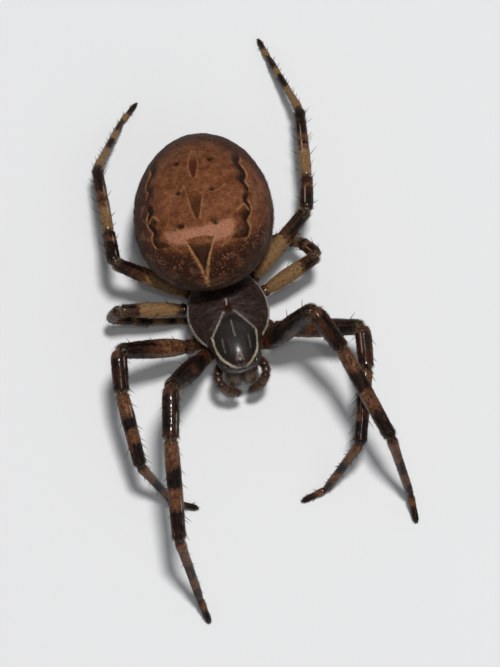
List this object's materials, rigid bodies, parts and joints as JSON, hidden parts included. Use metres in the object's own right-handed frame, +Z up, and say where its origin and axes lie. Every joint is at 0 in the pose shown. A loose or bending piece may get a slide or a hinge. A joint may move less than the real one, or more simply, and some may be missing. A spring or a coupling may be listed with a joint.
{
  "type": "orb weaver spider model",
  "caption": "Life-size orb weaver spider standing on its feet, with a large egg-shaped patterned abdomen, short glossy head shield and long banded, bristly legs.",
  "frame": {"origin": "middle of the bounding box at floor level, under the standing model", "axes": "+Z up; head towards -Y and abdomen towards +Y; the spider's left side towards +X"},
  "size_m": [0.0176, 0.0332, 0.0092],
  "materials": {
    "shield_brown": "satin dark purplish-brown shell with fine pale hairs along its edges",
    "abdomen_brown": "soft satin skin, warm brown with a dark-edged tan leaf pattern and short fine hair",
    "leg_brown": "satin jointed shell in dark brown and orange-brown bands, with bristles",
    "mouth_brown": "satin dark grey-brown shell with fine hair, fangs glossy",
    "eye_black": "polished black lens"
  },
  "bodies": {
    "root": {"cephalothorax": "shield_brown", "abdomen": "abdomen_brown", "pedicel": "shield_brown", "spinnerets": "mouth_brown", "chelicera_left": "mouth_brown", "fang_left": "mouth_brown", "palp_left": "mouth_brown", "chelicera_right": "mouth_brown", "fang_right": "mouth_brown", "palp_right": "mouth_brown", "eye_front_middle_left": "eye_black", "eye_front_middle_right": "eye_black", "eye_back_middle_left": "eye_black", "eye_back_middle_right": "eye_black", "eye_front_side_left": "eye_black", "eye_front_side_right": "eye_black", "eye_back_side_left": "eye_black", "eye_back_side_right": "eye_black", "leg_1_left_coxa": "leg_brown", "leg_1_left_femur": "leg_brown", "leg_1_left_patella": "leg_brown", "leg_1_left_tibia": "leg_brown", "leg_1_left_foot": "leg_brown", "leg_1_right_coxa": "leg_brown", "leg_1_right_femur": "leg_brown", "leg_1_right_patella": "leg_brown", "leg_1_right_tibia": "leg_brown", "leg_1_right_foot": "leg_brown", "leg_2_left_coxa": "leg_brown", "leg_2_left_femur": "leg_brown", "leg_2_left_patella": "leg_brown", "leg_2_left_tibia": "leg_brown", "leg_2_left_foot": "leg_brown", "leg_2_right_coxa": "leg_brown", "leg_2_right_femur": "leg_brown", "leg_2_right_patella": "leg_brown", "leg_2_right_tibia": "leg_brown", "leg_2_right_foot": "leg_brown", "leg_3_left_coxa": "leg_brown", "leg_3_left_femur": "leg_brown", "leg_3_left_patella": "leg_brown", "leg_3_left_tibia": "leg_brown", "leg_3_left_foot": "leg_brown", "leg_3_right_coxa": "leg_brown", "leg_3_right_femur": "leg_brown", "leg_3_right_patella": "leg_brown", "leg_3_right_tibia": "leg_brown", "leg_3_right_foot": "leg_brown", "leg_4_left_coxa": "leg_brown", "leg_4_left_femur": "leg_brown", "leg_4_left_patella": "leg_brown", "leg_4_left_tibia": "leg_brown", "leg_4_left_foot": "leg_brown", "leg_4_right_coxa": "leg_brown", "leg_4_right_femur": "leg_brown", "leg_4_right_patella": "leg_brown", "leg_4_right_tibia": "leg_brown", "leg_4_right_foot": "leg_brown"}
  },
  "joints": []
}
